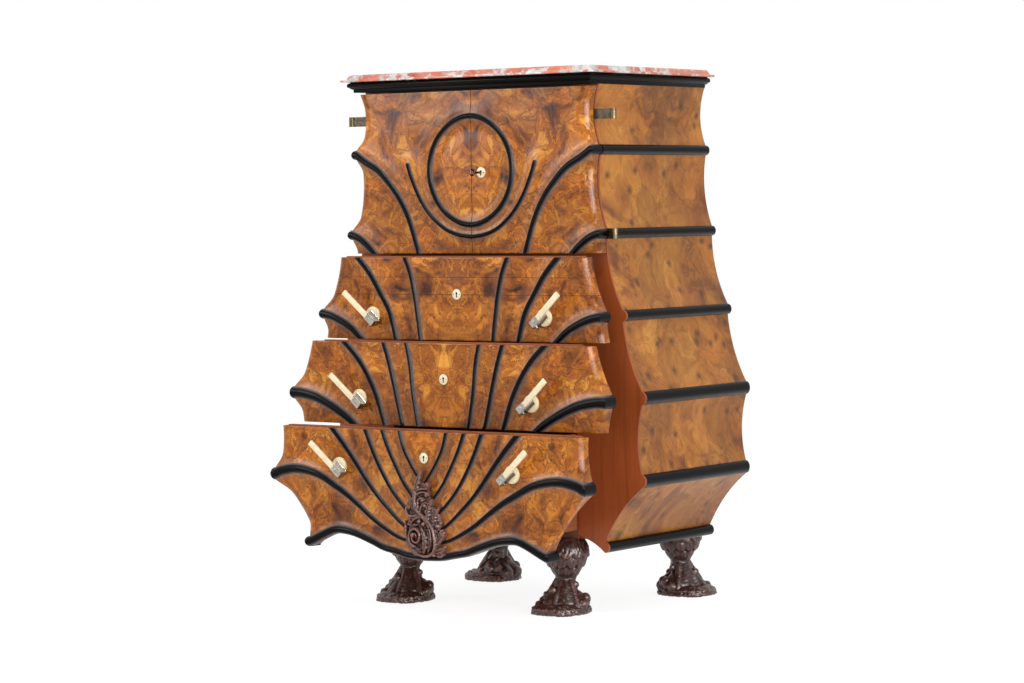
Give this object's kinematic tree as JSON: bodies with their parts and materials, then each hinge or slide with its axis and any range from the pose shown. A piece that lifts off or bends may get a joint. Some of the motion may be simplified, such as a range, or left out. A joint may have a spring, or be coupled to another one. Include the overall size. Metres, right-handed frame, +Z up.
{
  "type": "bombe chest",
  "caption": "Scalloped bombe chest with a two-door cupboard over drawers, black ribs, a stone top and carved paw feet; doors, drawers, key and bolts move.",
  "frame": {"origin": "on the floor, under the middle of the chest's box with its drawers drawn out as at rest", "axes": "+X to the right as seen from the front, +Y to the back, +Z up"},
  "size_m": [0.956, 0.755, 1.307],
  "materials": {
    "side_veneer": "satin quartered veneer",
    "polished_mahogany": "high gloss french polish",
    "black_lacquer": "gloss black lacquer on wood",
    "burr_veneer": "high gloss burr veneer",
    "case_wood": "satin solid wood",
    "drawer_wood": "satin solid wood",
    "marble": "polished marble",
    "dark_carved_wood": "waxed dark carved wood",
    "nickel": "polished nickel",
    "lock_steel": "dull steel",
    "cream_horn": "polished cream horn"
  },
  "bodies": {
    "carcase": {"left_side": "side_veneer", "right_side": "side_veneer", "front_stiles": "polished_mahogany", "left_mouldings": "black_lacquer", "right_mouldings": "black_lacquer", "back_panel": "case_wood", "bottom_board": "case_wood", "lower_divider": "case_wood", "upper_divider": "case_wood", "cupboard_floor": "case_wood", "top_board": "case_wood", "cupboard_shelf": "case_wood", "shelf_battens": "case_wood", "drawer_stops": "case_wood", "cornice": "black_lacquer", "stone_top": "marble", "left_front_foot": "dark_carved_wood", "right_front_foot": "dark_carved_wood", "left_rear_foot": "dark_carved_wood", "right_rear_foot": "dark_carved_wood", "case_hinge_leaves": "nickel", "hinge_pins": "nickel"},
    "left_door": {"left_door_panel": "burr_veneer", "left_door_ring": "black_lacquer", "left_door_ribs": "black_lacquer", "left_door_hinge_leaves": "nickel", "left_door_keep": "lock_steel", "left_door_bolt_guides": "lock_steel"},
    "right_door": {"right_door_panel": "burr_veneer", "right_door_ring": "black_lacquer", "right_door_ribs": "black_lacquer", "right_door_hinge_leaves": "nickel", "door_lock": "lock_steel", "door_key_plate": "cream_horn"},
    "top_shoot_bolt": {"left_door_top_bolt": "lock_steel"},
    "bottom_shoot_bolt": {"left_door_bottom_bolt": "lock_steel"},
    "lock_bolt": {"door_lock_bolt": "lock_steel"},
    "key": {"door_key": "nickel"},
    "drawer_1": {"drawer_1_front": "burr_veneer", "drawer_1_box": "drawer_wood", "drawer_1_ribs": "black_lacquer", "drawer_1_handles": "cream_horn", "drawer_1_brackets": "nickel", "drawer_1_lock": "lock_steel"},
    "drawer_1_lock_bolt": {"drawer_1_bolt": "lock_steel"},
    "drawer_2": {"drawer_2_front": "burr_veneer", "drawer_2_box": "drawer_wood", "drawer_2_ribs": "black_lacquer", "drawer_2_handles": "cream_horn", "drawer_2_brackets": "nickel", "drawer_2_lock": "lock_steel"},
    "drawer_2_lock_bolt": {"drawer_2_bolt": "lock_steel"},
    "drawer_3": {"drawer_3_front": "burr_veneer", "drawer_3_box": "drawer_wood", "drawer_3_ribs": "black_lacquer", "drawer_3_handles": "cream_horn", "drawer_3_brackets": "nickel", "drawer_3_lock": "lock_steel", "drawer_carving": "dark_carved_wood"},
    "drawer_3_lock_bolt": {"drawer_3_bolt": "lock_steel"}
  },
  "joints": [
    {"name": "left_door_hinge", "type": "hinge", "parent": "carcase", "child": "left_door", "pos_m": [-0.397, -0.1116, 1.05], "axis": [0, 0, -1], "range_deg": [0, 180]},
    {"name": "right_door_hinge", "type": "hinge", "parent": "carcase", "child": "right_door", "pos_m": [0.397, -0.1116, 1.05], "axis": [0, 0, 1], "range_deg": [0, 180]},
    {"name": "key_turn", "type": "hinge", "parent": "right_door", "child": "key", "pos_m": [0.03, -0.144, 1.059], "axis": [0, 1, 0], "range_deg": [0, 90]},
    {"name": "lock_bolt_slide", "type": "slide", "parent": "right_door", "child": "lock_bolt", "axis": [-1, 0, 0], "range_m": [0, 0.01]},
    {"name": "top_shoot_bolt_slide", "type": "slide", "parent": "left_door", "child": "top_shoot_bolt", "axis": [0, 0, 1], "range_m": [0, 0.012]},
    {"name": "bottom_shoot_bolt_slide", "type": "slide", "parent": "left_door", "child": "bottom_shoot_bolt", "axis": [0, 0, -1], "range_m": [0, 0.012]},
    {"name": "drawer_1_slide", "type": "slide", "parent": "carcase", "child": "drawer_1", "axis": [0, -1, 0], "range_m": [-0.0635, 0.236]},
    {"name": "drawer_1_bolt_slide", "type": "slide", "parent": "drawer_1", "child": "drawer_1_lock_bolt", "axis": [0, 0, 1], "range_m": [0, 0.012]},
    {"name": "drawer_2_slide", "type": "slide", "parent": "carcase", "child": "drawer_2", "axis": [0, -1, 0], "range_m": [-0.1205, 0.179]},
    {"name": "drawer_2_bolt_slide", "type": "slide", "parent": "drawer_2", "child": "drawer_2_lock_bolt", "axis": [0, 0, 1], "range_m": [0, 0.012]},
    {"name": "drawer_3_slide", "type": "slide", "parent": "carcase", "child": "drawer_3", "axis": [0, -1, 0], "range_m": [-0.2015, 0.098]},
    {"name": "drawer_3_bolt_slide", "type": "slide", "parent": "drawer_3", "child": "drawer_3_lock_bolt", "axis": [0, 0, 1], "range_m": [0, 0.012]}
  ],
  "couplings": [
    {"joint": "lock_bolt_slide", "follows": "key_turn", "m_per_rad": 0.006366}
  ]
}
